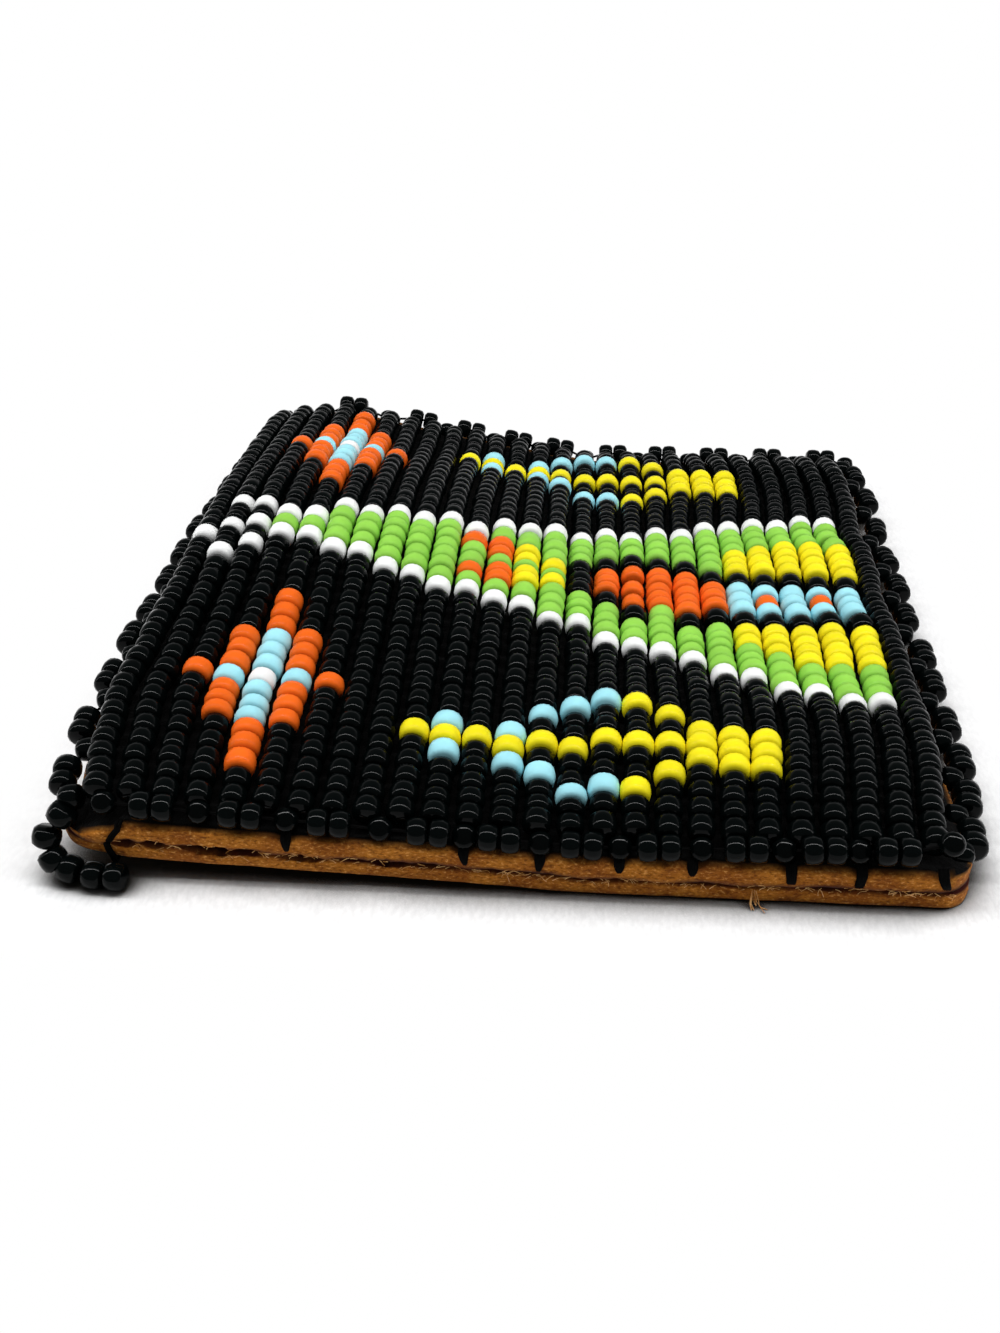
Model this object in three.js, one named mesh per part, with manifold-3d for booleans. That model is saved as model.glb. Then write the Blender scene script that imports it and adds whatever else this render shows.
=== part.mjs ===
// Beaded coin purse: two suede sheets, lanes of glass seed beads on the front sheet and a picot bead edging.
// Millimetres, +Z up. The mouth of the purse is the near edge, at -Y.
// The origin is on the table, under the middle of the purse's width and depth.
import * as THREE from 'three';
import { mergeVertices } from 'three/addons/utils/BufferGeometryUtils.js';
import Module from 'manifold-3d';

const wasm = await Module();
wasm.setup();

// Strands of beads
const STRAND_COUNT = 26;
const BEADS_PER_STRAND = 41;
const BEAD_DIAMETER = 2.65;
const BEAD_LENGTH = 2.05;
const WAIST_DEPTH = 0.75;
const STRAND_GAP = 0.35;
const CREST_SHARE = 0.62;

// Leather sheets
const LEATHER_THICKNESS = 1.6;
const SIDE_MARGIN = 1.0;
const NEAR_MARGIN = 1.4;
const FAR_MARGIN = 0.8;
const MOUTH_GAP = 0.4;

// Form of the purse as it lies: a left side that curls up off the table, and a pocket with a hump on the left
const FAR_LEFT_LIFT = 9.1;
const CURL_START = 5.5;
const CURL_POWER = 1.12;
const POCKET_RISE = 3.6;
const POCKET_FULLNESS = 0.64;

// The pocket's fullness away from its middle: shares of its rise for powers of u, across, and v, along
const FULLNESS_U = -1.21;
const FULLNESS_V = 0.12;
const FULLNESS_UU = 0.5;
const FULLNESS_UV = -0.55;
const FULLNESS_VV = -0.65;
const FULLNESS_UUV = 0.59;
const FULLNESS_UVV = 2.57;
const FULLNESS_VVV = -1.3;

// Picot edging: pairs of beads along the edge, with one bead set back between two pairs
const EDGING_BEAD = 2.3;
const EDGING_PAIR_LENGTH = 4.2;
const EDGING_ANCHOR_LENGTH = 2.7;
const EDGING_WAIST = 0.4;
const SIDE_EDGING_DROP = 1.2;
const CORNER_TAIL = 3.4;

// Beads of the corner loop: step along the loop as a share of the bead, and facets round and over one bead
const LOOP_STEP_SHARE = 0.85;
const LOOP_BEAD_SIDES = 6;
const LOOP_BEAD_RINGS = 4;

// Clearances between pieces that touch on the real purse
const SEAT = 0.55;
const CLEARANCE = 0.35;

// Flat facets of each sheet, across and along
const COLUMNS = 7;
const ROWS = 8;

// Sections along one unit of the edging
const EDGING_STATIONS = 4;

const strandPitch = BEAD_DIAMETER + STRAND_GAP;
const strandLength = BEADS_PER_STRAND * BEAD_LENGTH;
const fieldWidth = STRAND_COUNT * strandPitch;
const halfWidth = fieldWidth / 2 + SIDE_MARGIN;
const nearEdge = -strandLength / 2 - NEAR_MARGIN;
const farEdge = strandLength / 2 + FAR_MARGIN;
const sheetDepth = farEdge - nearEdge;
const nearLeftLift = EDGING_BEAD + 2 * CLEARANCE;
const edgingPeriod = EDGING_PAIR_LENGTH + EDGING_ANCHOR_LENGTH;

const glass = { color: 0x101214, roughness: 0.2, metalness: 0 };
const suede = { color: 0xb47a36, roughness: 0.9, metalness: 0 };

const purse = new THREE.Group();

function addPiece(name, geometry, look) {
  const mesh = new THREE.Mesh(geometry, new THREE.MeshStandardMaterial(look));
  mesh.name = name;
  purse.add(mesh);
}

// The place of a point on the sheet, -1 at the left and near edges and +1 at the right and far edges
function across(x) {
  return THREE.MathUtils.clamp(x / halfWidth, -1, 1);
}

function along(y) {
  return THREE.MathUtils.clamp((2 * (y - nearEdge)) / sheetDepth - 1, -1, 1);
}

// How far the back sheet stands off the table: flat on the right, curling up to the left edge
function curlHeight(x, y) {
  const v = along(y);
  const leftEdge = THREE.MathUtils.lerp(nearLeftLift, FAR_LEFT_LIFT, (1 + v) / 2);
  const reach = (CURL_START - x) / (CURL_START + halfWidth);
  return leftEdge * Math.pow(THREE.MathUtils.clamp(reach, 0, 1), CURL_POWER);
}

// How far the pocket stands open: nothing at the sewn edges and the mouth, most in the hump on the left
function pocketHeight(x, y) {
  const u = across(x);
  const v = along(y);
  const acrossShare = 1 + u * (FULLNESS_U + u * FULLNESS_UU);
  const alongShare = v * (FULLNESS_V + u * (FULLNESS_UV + u * FULLNESS_UUV));
  const endShare = v * v * (FULLNESS_VV + u * FULLNESS_UVV + v * FULLNESS_VVV);
  const room = (1 - v * v) * Math.pow(1 - u * u, POCKET_FULLNESS);
  return POCKET_RISE * room * Math.max(acrossShare + alongShare + endShare, 0);
}

function frontHeight(x, y) {
  return LEATHER_THICKNESS + MOUTH_GAP + curlHeight(x, y) + pocketHeight(x, y);
}

// The same height read off the sheet's own facets, so that what lies on the sheet follows them
function onFacets(height) {
  return (x, y) => {
    const column = ((across(x) + 1) / 2) * COLUMNS;
    const row = ((along(y) + 1) / 2) * ROWS;
    const i = Math.min(Math.floor(column), COLUMNS - 1);
    const j = Math.min(Math.floor(row), ROWS - 1);
    const corner = (di, dj) => height(columnX(i + di), rowY(j + dj));
    const nearSide = THREE.MathUtils.lerp(corner(0, 0), corner(1, 0), column - i);
    const farSide = THREE.MathUtils.lerp(corner(0, 1), corner(1, 1), column - i);
    return THREE.MathUtils.lerp(nearSide, farSide, row - j);
  };
}

function columnX(i) {
  return -halfWidth + (2 * halfWidth * i) / COLUMNS;
}

function rowY(j) {
  return nearEdge + (sheetDepth * j) / ROWS;
}

const frontTop = onFacets((x, y) => frontHeight(x, y) + LEATHER_THICKNESS);

// Moves each vertex by a function of its place
function shapeVertices(geometry, move) {
  const points = geometry.attributes.position;
  const point = new THREE.Vector3();
  for (let k = 0; k < points.count; k += 1) {
    point.fromBufferAttribute(points, k);
    move(point);
    points.setXYZ(k, point.x, point.y, point.z);
  }
  geometry.computeVertexNormals();
  return geometry;
}

// A leather sheet laid on a height, with its underside on that height
function leatherSheet(height) {
  const sheet = new THREE.BoxGeometry(2 * halfWidth, sheetDepth, LEATHER_THICKNESS, COLUMNS, ROWS, 1);
  sheet.translate(0, (nearEdge + farEdge) / 2, LEATHER_THICKNESS / 2);
  return shapeVertices(sheet, (point) => {
    point.z += height(point.x, point.y);
  });
}

// Side view of one strand at a place across the sheet: a crest for each bead and a waist between two beads
function strandOutline(x) {
  const start = -strandLength / 2;
  const base = (y) => frontTop(x, y) + SEAT;
  const outline = new THREE.Shape();
  outline.moveTo(start, base(start));
  for (let bead = 0; bead < BEADS_PER_STRAND; bead += 1) {
    const waist = start + bead * BEAD_LENGTH;
    const crest = waist + BEAD_LENGTH / 2;
    outline.lineTo(waist, base(waist) + BEAD_DIAMETER - WAIST_DEPTH);
    outline.lineTo(crest, base(crest) + BEAD_DIAMETER);
  }
  outline.lineTo(-start, base(-start) + BEAD_DIAMETER - WAIST_DEPTH);
  outline.lineTo(-start, base(-start));
  for (let row = ROWS - 1; row > 0; row -= 1) {
    outline.lineTo(rowY(row), base(rowY(row)));
  }
  return outline;
}

// A strand: its side view given the width of a bead, rounded in towards the crest, and tilted with the sheet
function beadStrand(x) {
  const strand = new THREE.ExtrudeGeometry(strandOutline(x), { depth: BEAD_DIAMETER, bevelEnabled: false });
  strand.translate(0, 0, -BEAD_DIAMETER / 2);
  strand.rotateX(Math.PI / 2);
  strand.rotateZ(Math.PI / 2);
  return shapeVertices(strand, (point) => {
    const base = frontTop(x, point.y);
    const share = (point.z - base - SEAT) / BEAD_DIAMETER;
    point.x = x + point.x * THREE.MathUtils.lerp(1, CREST_SHARE, share);
    point.z += frontTop(point.x, point.y) - base;
  });
}

// The section of an edging at one of its stations: the bead set back, then a pair with a waist in its middle
function edgingSection(station) {
  const half = EDGING_BEAD / 2;
  const slim = half - EDGING_WAIST;
  const sections = [
    { outer: 0, halfHeight: slim, shift: 0 },
    { outer: half, halfHeight: half, shift: EDGING_ANCHOR_LENGTH / 4 },
    { outer: slim, halfHeight: slim, shift: 0 },
    { outer: half, halfHeight: half, shift: -EDGING_ANCHOR_LENGTH / 4 },
  ];
  return sections[station % EDGING_STATIONS];
}

// An edging turned to face its side of the purse, moved to it and laid along the front sheet's edge
function picotEdging(units, turn, place, rise) {
  const length = units * edgingPeriod;
  const stations = units * EDGING_STATIONS;
  const edging = new THREE.BoxGeometry(length, EDGING_BEAD, EDGING_BEAD, stations, 1, 1);
  shapeVertices(edging, (point) => {
    const section = edgingSection(Math.round((point.x / length + 0.5) * stations));
    point.x += section.shift;
    point.y = point.y > 0 ? section.outer : -EDGING_BEAD / 2;
    point.z = Math.sign(point.z) * section.halfHeight;
  });
  edging.rotateZ(turn);
  edging.translate(place.x, place.y, EDGING_BEAD / 2 + rise);
  return shapeVertices(edging, (point) => {
    point.z += frontTop(point.x, point.y);
  });
}

function asSolid(geometry) {
  const bare = geometry.clone();
  bare.deleteAttribute('normal');
  bare.deleteAttribute('uv');
  const welded = mergeVertices(bare);
  const vertProperties = new Float32Array(welded.attributes.position.array);
  const triVerts = new Uint32Array(welded.index.array);
  return new wasm.Manifold(new wasm.Mesh({ numProp: 3, vertProperties, triVerts }));
}

function asGeometry(solid) {
  const mesh = solid.getMesh();
  const geometry = new THREE.BufferGeometry();
  geometry.setAttribute('position', new THREE.BufferAttribute(new Float32Array(mesh.vertProperties), 3));
  geometry.setIndex(new THREE.BufferAttribute(new Uint32Array(mesh.triVerts), 1));
  geometry.computeVertexNormals();
  return geometry;
}

// The run of beads that turns round the near left corner and ends under the back sheet, on the table
function cornerLoop() {
  const radius = EDGING_BEAD / 2;
  const y = nearEdge + radius;
  const side = -halfWidth - CLEARANCE - radius;
  const top = frontTop(-halfWidth, y) - LEATHER_THICKNESS / 2;
  const route = new THREE.CatmullRomCurve3([
    new THREE.Vector3(side + CLEARANCE, y, top),
    new THREE.Vector3(side, y, (top + radius) / 2),
    new THREE.Vector3(-halfWidth - CLEARANCE / 2, y, radius),
    new THREE.Vector3(-halfWidth + CORNER_TAIL, y, radius),
  ]);
  const steps = Math.ceil(route.getLength() / (EDGING_BEAD * LOOP_STEP_SHARE));
  const beads = route.getSpacedPoints(steps).map((centre) => {
    const bead = new THREE.SphereGeometry(radius, LOOP_BEAD_SIDES, LOOP_BEAD_RINGS);
    bead.rotateX(Math.PI / 2);
    bead.translate(centre.x, centre.y, centre.z);
    return asSolid(bead);
  });
  return asGeometry(beads.reduce((joined, bead) => joined.add(bead)));
}

addPiece('back_panel', leatherSheet(curlHeight), suede);
addPiece('front_panel', leatherSheet(frontHeight), suede);

for (let strand = 0; strand < STRAND_COUNT; strand += 1) {
  const x = (strand - (STRAND_COUNT - 1) / 2) * strandPitch;
  addPiece(`bead_strand_${String(strand + 1).padStart(2, '0')}`, beadStrand(x), glass);
}

const endUnits = Math.floor(fieldWidth / edgingPeriod);
const endOffset = strandLength / 2 + CLEARANCE + EDGING_BEAD / 2;
addPiece('near_edging', picotEdging(endUnits, Math.PI, new THREE.Vector2(0, -endOffset), SEAT), glass);
addPiece('far_edging', picotEdging(endUnits, 0, new THREE.Vector2(0, endOffset), SEAT), glass);

const sideStart = nearEdge + EDGING_BEAD + CLEARANCE;
const sideUnits = Math.floor((farEdge - sideStart) / edgingPeriod);
const sideMiddle = sideStart + (sideUnits * edgingPeriod) / 2;
const sideOffset = halfWidth + CLEARANCE + EDGING_BEAD / 2;
const rightPlace = new THREE.Vector2(sideOffset, sideMiddle);
addPiece('right_edging', picotEdging(sideUnits, -Math.PI / 2, rightPlace, -SIDE_EDGING_DROP), glass);
const leftPlace = new THREE.Vector2(-sideOffset, sideMiddle);
addPiece('left_edging', picotEdging(sideUnits, Math.PI / 2, leftPlace, -SIDE_EDGING_DROP), glass);
addPiece('corner_edging', cornerLoop(), glass);

export default purse;
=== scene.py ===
# Beaded coin purse: strands of glass seed beads and a picot edging on two sheets of suede.
# Lengths are worked out in millimetres and put into the meshes in metres.
import math
import random

import bmesh
import bpy
from mathutils import Matrix, Vector, noise


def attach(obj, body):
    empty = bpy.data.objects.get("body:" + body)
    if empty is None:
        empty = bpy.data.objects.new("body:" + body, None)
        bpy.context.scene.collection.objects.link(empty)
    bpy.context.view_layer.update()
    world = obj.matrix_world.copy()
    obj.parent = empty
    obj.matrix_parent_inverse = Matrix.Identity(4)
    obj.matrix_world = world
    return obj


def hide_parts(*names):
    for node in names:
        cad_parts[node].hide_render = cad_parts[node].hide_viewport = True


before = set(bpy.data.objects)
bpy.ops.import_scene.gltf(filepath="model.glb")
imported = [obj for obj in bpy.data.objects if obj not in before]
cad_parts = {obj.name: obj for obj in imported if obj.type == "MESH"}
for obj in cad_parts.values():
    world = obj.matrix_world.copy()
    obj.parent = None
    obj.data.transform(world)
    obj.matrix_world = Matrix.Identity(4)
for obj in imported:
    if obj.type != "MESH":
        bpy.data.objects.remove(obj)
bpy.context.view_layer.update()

MM = 0.001
chance = random.Random(2641)

# The purse's own sizes. Strands count from the left, and rows from the middle towards the near edge.
STRANDS = 26
END_ROW = 20
STRAND_PITCH = 3.0
OUTER_STRAND = (STRANDS - 1) / 2 * STRAND_PITCH
BEAD_LENGTH = 2.05
LEATHER = 1.6
MOUTH_GAP = 0.4
HALF_WIDTH = 40.0
NEAR_EDGE = -43.425
FAR_EDGE = 42.825
BEAD_LIFT = 1.75

# How the purse lies: the left side curls up, and the pocket has a hump on the left
NEAR_LEFT_LIFT = 3.0
FAR_LEFT_LIFT = 9.1
CURL_START = 5.5
CURL_POWER = 1.12
POCKET_RISE = 3.6
POCKET_FULLNESS = 0.64
POCKET_SAG = 0.3


def along(y):
    """-1 at the near edge and 1 at the far edge."""
    return min(max(2 * (y - NEAR_EDGE) / (FAR_EDGE - NEAR_EDGE) - 1, -1), 1)


def eased(stops, at):
    """A value that moves softly from each (place, value) stop to the next."""
    value = stops[0][1]
    for (start, first), (end, second) in zip(stops, stops[1:]):
        share = min(max((at - start) / (end - start), 0), 1)
        value += (second - first) * share * share * (3 - 2 * share)
    return value


def rising(value, start, end, most=1):
    """A straight rise from 0 at start to 1 at end, which goes on as far as most."""
    return min(max((value - start) / (end - start), 0), most)


# The near left corner of the leather hangs a little lower than the beads on it
CORNER_DROP = 0.9
CORNER_DROP_START = 6.0
CORNER_DROP_DEPTH = 8.0


def near_drop(x, y):
    to_left = rising(-x, CORNER_DROP_START, HALF_WIDTH, 1.1)
    return CORNER_DROP * to_left * rising(NEAR_EDGE - y, -CORNER_DROP_DEPTH, 0)


# The left edge rolls over, most at its far end
ROLL_DROP = 3.9
ROLL_START = 25.0
ROLL_ALONG = ((-20.0, 0.0), (2.0, 0.36), (22.0, 0.82), (42.0, 1.22))


def roll_over(x, y):
    return ROLL_DROP * rising(-x, ROLL_START, HALF_WIDTH, 1.05) ** 2 * eased(ROLL_ALONG, y)


def curl_height(x, y):
    left = NEAR_LEFT_LIFT + (FAR_LEFT_LIFT - NEAR_LEFT_LIFT) * (1 + along(y)) / 2
    return left * rising(-x, -CURL_START, HALF_WIDTH) ** CURL_POWER - roll_over(x, y)


# The strands and the edging at the sides sway sideways, by row. The sway starts some way from the middle.
SWAY_START = 1.5
SWAY_FAR_OUT = 19.5
LEFT_SWAY = ((-1.0, 0.0), (5.0, -0.35), (10.0, -1.05), (14.0, -1.75), (17.0, -1.1), (20.5, 0.0))
RIGHT_SWAY = ((-20.5, 0.0), (-14.0, 0.8), (-8.0, 0.15), (5.0, 0.0), (12.5, 0.25), (20.5, -1.4))
# The inlay's large beads push the strands at the right outwards, by row and across
INLAY_BULGE = ((-8.5, 0.0), (-6.5, 0.85), (-4.0, 0.9), (-1.5, 0.4), (0.5, 0.6), (2.0, 1.15), (4.5, 1.15),
               (7.0, 0.8), (10.0, 0.45), (13.0, 0.0))
INLAY_BULGE_ACROSS = ((12.0, 0.0), (25.5, 0.25), (31.5, 0.62), (34.5, 1.0), (37.5, 0.75), (40.0, 0.5))


def sway(x, y):
    row = -y / BEAD_LENGTH
    left = rising(-x, SWAY_FAR_OUT, OUTER_STRAND)
    right = rising(x, SWAY_START, OUTER_STRAND if row > 0 else SWAY_FAR_OUT)
    bulge = eased(INLAY_BULGE, row) * eased(INLAY_BULGE_ACROSS, x)
    return left * eased(LEFT_SWAY, row) + right * eased(RIGHT_SWAY, row) + bulge


# Where the pocket has sunk in, across and along
LEFT_SINK = (((-40.0, 0.0), (-32.0, 0.6), (-25.0, 1.0), (-17.0, 0.7), (-11.0, 0.0)),
             ((-30.0, 0.0), (-16.0, 1.1), (0.0, 0.9), (8.0, 1.1), (26.0, 0.75), (42.0, 0.2)))
MIDDLE_SINK = (((-17.0, 0.0), (-11.0, 0.5), (-4.5, 1.0), (2.0, 0.3), (8.0, 0.0)),
               ((-14.0, 0.0), (-4.0, 0.3), (8.0, 0.6), (30.0, 0.9), (40.0, 0.2)))
RIGHT_SINK = (((0.0, 0.0), (6.0, 1.0), (36.0, 1.0), (40.0, 0.6)),
              ((-26.0, 0.0), (-14.0, 1.1), (16.0, 1.2), (24.0, 1.0), (38.0, 0.0)))


def sink(x, y):
    hollows = (LEFT_SINK, MIDDLE_SINK, RIGHT_SINK)
    return sum(eased(across, x) * eased(lengthways, y) for across, lengthways in hollows)


# The pocket's fullness away from its middle: shares of its rise for powers of u, across, and v, along.
# They are rounded from a fit to beads and edge points read off the photograph.
FULLNESS_U = -1.21
FULLNESS_V = 0.12
FULLNESS_UU = 0.5
FULLNESS_UV = -0.55
FULLNESS_VV = -0.65
FULLNESS_UUV = 0.59
FULLNESS_UVV = 2.57
FULLNESS_VVV = -1.3


def pocket_height(x, y):
    u = min(max(x / HALF_WIDTH, -1), 1)
    v = along(y)
    share = 1 + u * (FULLNESS_U + FULLNESS_UU * u)
    share += v * (FULLNESS_V + u * (FULLNESS_UV + FULLNESS_UUV * u))
    share += v * v * (FULLNESS_VV + FULLNESS_UVV * u + FULLNESS_VVV * v)
    rise = POCKET_RISE * (1 - v * v) * (1 - u * u) ** POCKET_FULLNESS * max(share, 0)
    return max(rise - sink(x, y), -POCKET_SAG * (1 - v ** 4))


def front_top(x, y):
    """The height of the front sheet's upper face."""
    return 2 * LEATHER + MOUTH_GAP + curl_height(x, y) + pocket_height(x, y)


# Node graphs: values that take part in arithmetic, and one way to add any other node
class Value:
    def __init__(self, graph, socket):
        self.graph = graph
        self.socket = socket

    def math(self, operation, *others):
        return self.graph.add("ShaderNodeMath", {"operation": operation}, {
            place: value for place, value in enumerate((self, *others))})

    def __add__(self, other):
        return self.math("ADD", other)

    def __radd__(self, other):
        return self.math("ADD", other)

    def __sub__(self, other):
        return self.math("SUBTRACT", other)

    def __rsub__(self, other):
        return self.graph.add("ShaderNodeMath", {"operation": "SUBTRACT"}, {0: other, 1: self})

    def __mul__(self, other):
        return self.math("MULTIPLY", other)

    def __rmul__(self, other):
        return self.math("MULTIPLY", other)

    def between(self, low, high):
        """0 below low and 1 above high, with a soft step between them."""
        return self.graph.add("ShaderNodeMapRange", {"interpolation_type": "SMOOTHSTEP"}, {
            "Value": self, "From Min": low, "From Max": high})


class Graph:
    def __init__(self, owner):
        owner.use_nodes = True
        self.tree = owner.node_tree
        self.tree.nodes.clear()

    def add(self, kind, settings=None, sockets=None, output=0):
        node = self.tree.nodes.new(kind)
        for name, setting in (settings or {}).items():
            setattr(node, name, setting)
        for name, value in (sockets or {}).items():
            if isinstance(value, Value):
                self.tree.links.new(value.socket, node.inputs[name])
            else:
                node.inputs[name].default_value = value
        return Value(self, node.outputs[output]) if len(node.outputs) else node

    def place(self):
        return self.add("ShaderNodeTexCoord", output="Object")

    def stretched(self, scale):
        return self.add("ShaderNodeMapping", sockets={"Vector": self.place(), "Scale": scale})

    def grain(self, scale, detail=3.0, rough=0.55, where=None):
        return self.add("ShaderNodeTexNoise", sockets={
            "Vector": where or self.place(), "Scale": scale, "Detail": detail, "Roughness": rough})

    def blend(self, share, first, second, kind="MIX"):
        return self.add("ShaderNodeMix", {"data_type": "RGBA", "blend_type": kind},
                        {0: share, 6: first, 7: second}, output=2)

    def attribute(self, name, output):
        return self.add("ShaderNodeAttribute", {"attribute_name": name}, output=output)

    def bump(self, height, strength, distance):
        return self.add("ShaderNodeBump", sockets={
            "Height": height, "Strength": strength, "Distance": distance})

    def surface(self, sockets):
        shader = self.add("ShaderNodeBsdfPrincipled", sockets=sockets)
        self.add("ShaderNodeOutputMaterial", sockets={"Surface": shader})


def linear(red, green, blue):
    levels = [level / 255 for level in (red, green, blue)]
    return tuple(s / 12.92 if s <= 0.04045 else ((s + 0.055) / 1.055) ** 2.4 for s in levels) + (1.0,)


# Glass: each kind's colour, radius and roughness. Jet is the larger black bead of the inlay.
GLASS = {
    "black": (linear(3, 6, 6), 1.30, 0.07),
    "jet": (linear(3, 6, 6), 1.46, 0.07),
    "white": (linear(250, 251, 250), 1.40, 0.30),
    "green": (linear(152, 216, 84), 1.44, 0.24),
    "orange": (linear(246, 107, 30), 1.48, 0.24),
    "yellow": (linear(251, 235, 32), 1.49, 0.24),
    "blue": (linear(168, 234, 246), 1.49, 0.24),
}


# Strands of the inlay with an orange dot, and one with three orange beads where its neighbours have five
DOTTED_STRANDS = (21, 23)
SPARSE_STRAND = 16
SMALL_ORANGE = (SPARSE_STRAND, *DOTTED_STRANDS)

# White rows before the wedge's tip, the middles of the stars and arrows, and the reach of the barbs
TIP_ROWS = {0: (0,), 1: (0, 3), 2: (0, 2)}
STAR_STRAND = 4
STAR_ROW = 12
ARROW_ROW = 15
ARROW_BARBS = {10: 1, 12: 1, 13: 2, 14: 3, 15: 3, 16: 3, 17: 2, 18: 1, 19: 1, 20: 1}


# The bead pattern by strand and row, the same towards both ends but for a few beads
def wedge_tip(strand, row):
    return "white" if abs(row) in TIP_ROWS.get(strand, ()) else None


def wedge(strand, row):
    """A green wedge with a white edge, which opens to the right, and the inlay in its middle."""
    if not 3 <= strand <= 24:
        return None
    reach = abs(row)
    edge = (strand - 1) // 2 if strand <= 10 else (strand - 3) // 2
    if row < 0:
        edge = {9: 3, 10: 2, 20: 9}.get(strand, edge)
    if reach >= edge:
        return "white" if reach == edge else None
    if strand >= 20:
        if reach <= 1:
            return "orange" if reach == 0 and strand in DOTTED_STRANDS else "blue"
        if reach == 2:
            return "jet"
        return "yellow" if reach <= edge - (3 if strand == 22 else 4) else "green"
    if strand >= 15:
        core = 2 if strand in (16, 17, 18) else 1
        if reach <= core:
            return "orange"
        return "jet" if reach == core + 1 and (strand, row) != (17, 3) else "green"
    if strand == 14:
        return "jet" if reach <= 1 else "green"
    if strand == 13:
        return "yellow" if reach == 1 else "green"
    if strand in (11, 12) and reach in (1, 2):
        return "orange" if strand == 11 else "yellow"
    if strand == 10 and row in (-1, 2):
        return "orange"
    return "green"


def stars(strand, row):
    reach = abs(abs(row) - STAR_ROW)
    side = abs(strand - STAR_STRAND)
    if side == 0 and reach <= 6:
        return "white" if reach == 0 else ("blue" if reach <= 3 else "orange")
    if side == 1 and reach <= 3:
        return "blue" if reach == 0 else "orange"
    return "orange" if side == 2 and reach == 0 else None


def arrows(strand, row):
    reach = abs(abs(row) - ARROW_ROW)
    if not 9 <= strand <= 20:
        return None
    if reach == 0:
        return "yellow"
    if ARROW_BARBS.get(strand) == reach:
        return "blue" if strand <= 15 else "yellow"
    return None


def pattern(strand, row):
    for figure in (wedge_tip, wedge, stars, arrows):
        glass = figure(strand, row)
        if glass:
            return glass
    return "black"


# Finishes
def bead_glass():
    material = bpy.data.materials.new("bead_glass")
    graph = Graph(material)
    tint = graph.attribute("glass_tint", "Color")
    polish = graph.attribute("glass_roughness", "Fac")
    cloud = graph.grain(900.0, 2.0)
    depth = graph.blend(cloud.between(0.35, 0.7), (0.95, 0.95, 0.95, 1), (1.01, 1.01, 1.01, 1))
    colour = graph.blend(1.0, tint, depth, "MULTIPLY")
    ripple = graph.grain(1500.0, 1.0)
    graph.surface({
        "Base Color": colour,
        "Roughness": polish + (cloud - 0.5) * 0.08,
        "Normal": graph.bump(ripple, 0.05, 0.00008),
        "IOR": 1.42,
        "Specular IOR Level": 0.095,
    })
    return material


def suede():
    material = bpy.data.materials.new("suede")
    graph = Graph(material)
    cut = graph.attribute("cut_edge", "Fac")
    under_bead_shade = graph.attribute("under_beads", "Fac")
    shade = graph.attribute("mouth_shade", "Fac")
    nap = graph.grain(330.0, 4.0, 0.6)
    fibre = graph.grain(1.0, 4.0, 0.6, graph.stretched((2300.0, 2300.0, 4200.0)))
    strand = graph.grain(1.0, 3.0, 0.6, graph.stretched((700.0, 700.0, 2900.0)))
    face = graph.blend(nap.between(0.3, 0.72), linear(150, 94, 36), linear(192, 134, 62))
    face = graph.blend(fibre.between(0.45, 0.8) * 0.5, face, linear(112, 64, 22))
    edge = graph.blend(nap.between(0.32, 0.68), linear(146, 82, 24), linear(188, 118, 38))
    edge = graph.blend(strand.between(0.5, 0.74) * 0.6, edge, linear(120, 62, 16))
    edge = graph.blend(fibre.between(0.5, 0.66) * 0.6, edge, linear(74, 32, 8))
    edge = graph.blend(0.7 - fibre.between(0.3, 0.46) * 0.7, edge, linear(236, 172, 88))
    colour = graph.blend(cut, face, edge)
    # Painted shade: the inside of the mouth goes dark brown
    colour = graph.blend(shade, colour, linear(58, 17, 9))
    # Painted shade: the leather under the beads goes near black
    colour = graph.blend(under_bead_shade, colour, linear(3, 3, 3))
    graph.surface({
        "Base Color": colour,
        "Roughness": 0.86 + fibre * 0.12,
        "Normal": graph.bump(fibre + strand * 0.5 + nap * 0.4, 0.6, 0.0003),
        "Specular IOR Level": 0.12,
        "Sheen Weight": 0.04,
    })
    return material


def black_thread():
    material = bpy.data.materials.new("black_thread")
    graph = Graph(material)
    ply = graph.grain(1.0, 2.0, 0.5, graph.stretched((2400.0, 2400.0, 900.0)))
    colour = graph.blend(ply.between(0.35, 0.7), linear(1, 1, 1), linear(5, 5, 5))
    graph.surface({
        "Base Color": colour,
        "Roughness": 0.55 + ply * 0.25,
        "Normal": graph.bump(ply, 0.4, 0.0001),
        "Specular IOR Level": 0.04,
    })
    return material


def loose_fibre():
    material = bpy.data.materials.new("loose_fibre")
    graph = Graph(material)
    strand = graph.grain(1400.0, 2.0)
    graph.surface({
        "Base Color": graph.blend(strand.between(0.35, 0.65), linear(176, 118, 58), linear(232, 184, 122)),
        "Roughness": 0.8 + strand * 0.15,
        "Normal": graph.bump(strand, 0.3, 0.0001),
        "Specular IOR Level": 0.1,
    })
    return material


GLASS_FINISH = bead_glass()
SUEDE_FINISH = suede()
FIBRE_FINISH = loose_fibre()
THREAD_FINISH = black_thread()


def settle(piece, slot, *nodes):
    bpy.context.collection.objects.link(piece)
    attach(piece, "root")
    if nodes:
        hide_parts(*nodes)
    return piece


def piece_from(form, name, finish):
    bmesh.ops.scale(form, vec=(MM, MM, MM), verts=form.verts)
    mesh = bpy.data.meshes.new(name)
    form.to_mesh(mesh)
    form.free()
    mesh.materials.append(finish)
    mesh.shade_smooth()
    return bpy.data.objects.new(name, mesh)


# Beads. Half of a bead's outline is given as shares of its radius and length.
BEAD_SIDES = 16
HALF_OUTLINE = [(1.0, 0.1), (0.93, 0.35), (0.66, 0.49)]
# Points of a bead further than BORE_HEIGHT of its length from its middle are darkened to BORE_SHADE:
# painted shade at the ends, where beads meet
BORE_HEIGHT = 0.45
BORE_SHADE = 0.62


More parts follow.
